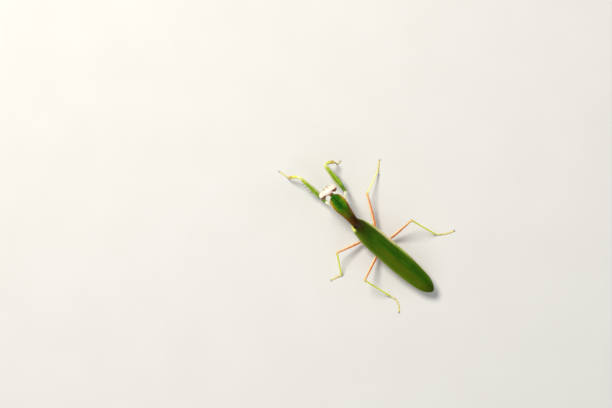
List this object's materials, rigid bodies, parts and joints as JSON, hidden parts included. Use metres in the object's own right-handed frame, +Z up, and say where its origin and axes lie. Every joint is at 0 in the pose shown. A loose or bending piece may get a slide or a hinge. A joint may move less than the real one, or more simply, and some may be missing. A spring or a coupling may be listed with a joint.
{
  "type": "praying mantis model",
  "caption": "Life-size still model of a large green praying mantis, wings folded, body raised in front and spined forelegs held forward, standing on its six feet.",
  "frame": {"origin": "middle of the footprint's bounding box, on the floor under the animal", "axes": "+Z up; the head looks along -Y and the wing tips point along +Y; +X is the animal's left side"},
  "size_m": [0.0614, 0.095, 0.042],
  "materials": {
    "face": "pale pinkish cream cuticle, browner behind",
    "neck_skin": "soft pale skin of the neck",
    "mouth_plate": "pale yellow-green mouth pieces",
    "eye": "glossy pinkish-brown compound eye",
    "feeler": "brown ringed antenna",
    "shield": "green shield with orange-brown margins and a red-brown rear third",
    "under_shield": "olive underside of the prothorax",
    "trunk": "yellow-green thorax and abdomen",
    "tegmen": "opaque leaf-green wing case with a pale costal edge and an olive middle",
    "hindwing": "folded smoky membrane",
    "cercus": "ringed yellow-green cercus",
    "fore_pale": "pale whitish-yellow hip, shin and foot of the fore leg",
    "fore_green": "green trochanter and fore thigh with yellow rims",
    "walking_femur": "salmon-orange thigh",
    "walking_shank": "yellow-green shin and foot with orange-brown tips"
  },
  "bodies": {
    "root": {"abdomen": "trunk", "antenna_left": "feeler", "antenna_right": "feeler", "cercus_left": "cercus", "cercus_right": "cercus", "eye_left": "eye", "eye_right": "eye", "fore_coxa_left": "fore_pale", "fore_coxa_right": "fore_pale", "fore_femur_left": "fore_green", "fore_femur_right": "fore_green", "fore_tarsus_left": "fore_pale", "fore_tarsus_right": "fore_pale", "fore_tibia_left": "fore_pale", "fore_tibia_right": "fore_pale", "fore_trochanter_left": "fore_green", "fore_trochanter_right": "fore_green", "head": "face", "hind_coxa_left": "trunk", "hind_coxa_right": "trunk", "hind_femur_left": "walking_femur", "hind_femur_right": "walking_femur", "hind_tarsus_left": "walking_shank", "hind_tarsus_right": "walking_shank", "hind_tibia_left": "walking_shank", "hind_tibia_right": "walking_shank", "hind_trochanter_left": "walking_femur", "hind_trochanter_right": "walking_femur", "hindwing_left": "hindwing", "hindwing_right": "hindwing", "mesothorax": "trunk", "metathorax": "trunk", "mid_coxa_left": "trunk", "mid_coxa_right": "trunk", "mid_femur_left": "walking_femur", "mid_femur_right": "walking_femur", "mid_tarsus_left": "walking_shank", "mid_tarsus_right": "walking_shank", "mid_tibia_left": "walking_shank", "mid_tibia_right": "walking_shank", "mid_trochanter_left": "walking_femur", "mid_trochanter_right": "walking_femur", "mouthparts": "mouth_plate", "neck": "neck_skin", "palp_left": "mouth_plate", "palp_right": "mouth_plate", "pronotum": "shield", "prothorax": "under_shield", "subgenital_plate": "trunk", "tegmen_left": "tegmen", "tegmen_right": "tegmen"}
  },
  "joints": []
}
